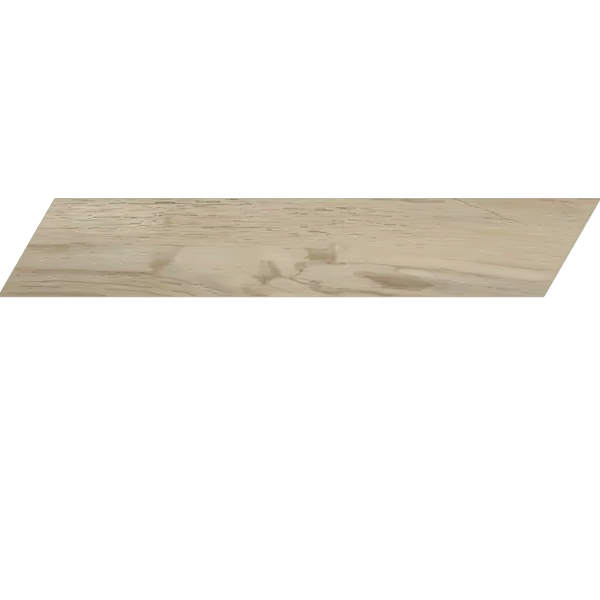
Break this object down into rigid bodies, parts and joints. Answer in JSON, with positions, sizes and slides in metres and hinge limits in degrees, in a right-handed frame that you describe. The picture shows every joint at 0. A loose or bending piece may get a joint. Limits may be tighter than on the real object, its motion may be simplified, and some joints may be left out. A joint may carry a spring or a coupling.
{
  "type": "chevron wall tile",
  "caption": "Long thin ceramic tile with a wood-look face, ends sawn to parallel mitres and a ribbed back; it meets its mirror image end to end in a chevron pattern.",
  "frame": {"origin": "middle of the back, on the plane of its ribs, as the tile lies face up", "axes": "+X along the long sides, +Y across the tile, +Z out of the printed face; the long side at +Y is shifted towards +X"},
  "size_m": [0.597, 0.098, 0.009],
  "materials": {
    "porcelain": "matt, printed as pale weathered wood; bare fired body on the edges and the back"
  },
  "bodies": {
    "root": {"chevron_tile": "porcelain"}
  },
  "joints": []
}
